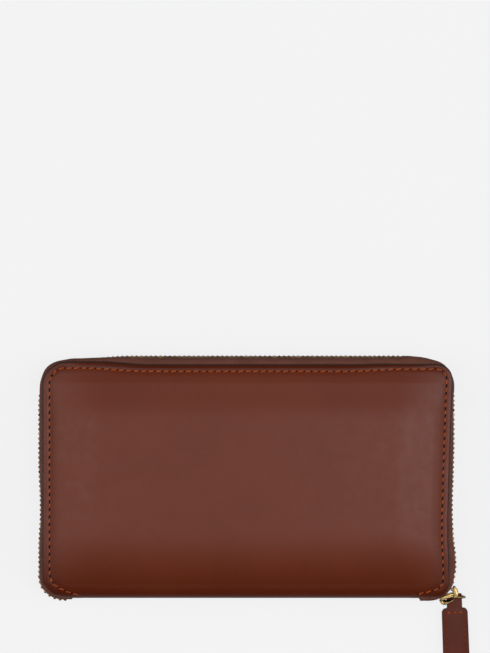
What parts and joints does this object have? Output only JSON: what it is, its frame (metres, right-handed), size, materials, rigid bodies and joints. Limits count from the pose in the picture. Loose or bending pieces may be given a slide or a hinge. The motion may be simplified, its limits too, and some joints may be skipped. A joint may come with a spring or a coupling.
{
  "type": "zip around wallet",
  "caption": "Long brown leather zip around wallet with a folded spine, card pockets, a zipped coin pocket and a ring-hung leather zip pull.",
  "frame": {"origin": "centre of the back cover's flat outer face, which the closed wallet lies on", "axes": "+X along the spine towards the slider's corner, +Y from the spine to the zip side, +Z from the back cover to the front cover"},
  "size_m": [0.1972, 0.164, 0.0255],
  "materials": {
    "cover_leather": "smooth satin",
    "inner_leather": "smooth satin",
    "pocket_fabric": "woven",
    "lining_fabric": "woven",
    "board": "plain",
    "zip_tape": "woven",
    "zip_teeth": "antique",
    "zip_metal": "polished"
  },
  "bodies": {
    "back": {"back_cover": "cover_leather", "back_board": "board", "back_lining": "lining_fabric", "back_zip_tape": "zip_tape", "back_teeth": "zip_teeth", "back_card_panel": "inner_leather", "back_card_pocket_1": "inner_leather", "back_card_pocket_2": "inner_leather", "back_card_pocket_3": "inner_leather", "back_card_pocket_4": "inner_leather", "zip_end_tape_left": "zip_tape", "zip_end_tape_right": "zip_tape", "zip_end_teeth_left": "zip_teeth", "zip_end_teeth_right": "zip_teeth", "zip_top_stops": "zip_metal", "zip_bottom_stop": "zip_metal"},
    "spine": {"spine_cover": "cover_leather", "spine_board": "board", "spine_lining": "lining_fabric", "coin_wall_back": "pocket_fabric", "coin_wall_front": "pocket_fabric", "coin_side_left": "pocket_fabric", "coin_side_right": "pocket_fabric", "coin_floor": "pocket_fabric", "coin_tape_back": "zip_tape", "coin_tape_front": "zip_tape", "coin_teeth_back": "zip_teeth", "coin_teeth_front": "zip_teeth", "coin_stops": "zip_metal"},
    "front": {"front_cover": "cover_leather", "front_board": "board", "front_lining": "lining_fabric", "front_zip_tape": "zip_tape", "front_teeth": "zip_teeth", "front_card_panel": "inner_leather", "front_card_pocket_1": "inner_leather", "front_card_pocket_2": "inner_leather", "front_card_pocket_3": "inner_leather", "front_card_pocket_4": "inner_leather"},
    "slider": {"zip_slider": "zip_metal"},
    "link": {"pull_link": "zip_metal"},
    "ring": {"pull_ring": "zip_metal"},
    "tab": {"pull_tab": "cover_leather"},
    "coin_slider": {"coin_slider": "zip_metal"},
    "coin_pull": {"coin_pull": "zip_metal"}
  },
  "joints": [
    {"name": "spine_fold", "type": "hinge", "parent": "back", "child": "spine", "pos_m": [0, -0.0535, 0], "axis": [1, 0, 0], "range_deg": [0, 75]},
    {"name": "front_fold", "type": "hinge", "parent": "spine", "child": "front", "pos_m": [0, -0.0535, 0.0255], "axis": [1, 0, 0], "range_deg": [0, 75]},
    {"name": "slider_travel", "type": "hinge", "parent": "back", "child": "slider", "pos_m": [0.0845, -0.0434, 0.01275], "axis": [0, 0, 1], "range_deg": [0, 42], "deforming": ["zip_end_teeth_right"]},
    {"name": "link_swing", "type": "hinge", "parent": "slider", "child": "link", "pos_m": [0.09518, -0.0506, 0.01275], "axis": [0, 0, 1], "range_deg": [0, 80]},
    {"name": "ring_swing", "type": "hinge", "parent": "link", "child": "ring", "pos_m": [0.09518, -0.0544, 0.01275], "axis": [-1, 0, 0], "range_deg": [0, 90]},
    {"name": "tab_swing", "type": "hinge", "parent": "ring", "child": "tab", "pos_m": [0.0959, -0.0544, 0.0064], "axis": [1, 0, 0], "range_deg": [-45, 85]},
    {"name": "coin_slide", "type": "slide", "parent": "spine", "child": "coin_slider", "axis": [-1, 0, 0], "range_m": [0, 0.13], "deforming": ["coin_teeth_back", "coin_teeth_front"]},
    {"name": "coin_pull_swing", "type": "hinge", "parent": "coin_slider", "child": "coin_pull", "pos_m": [0.064, 0.0417, 0.01275], "axis": [0, 0, -1], "range_deg": [0, 170]}
  ],
  "couplings": [
    {"joint": "front_fold", "follows": "spine_fold", "ratio": 1}
  ]
}
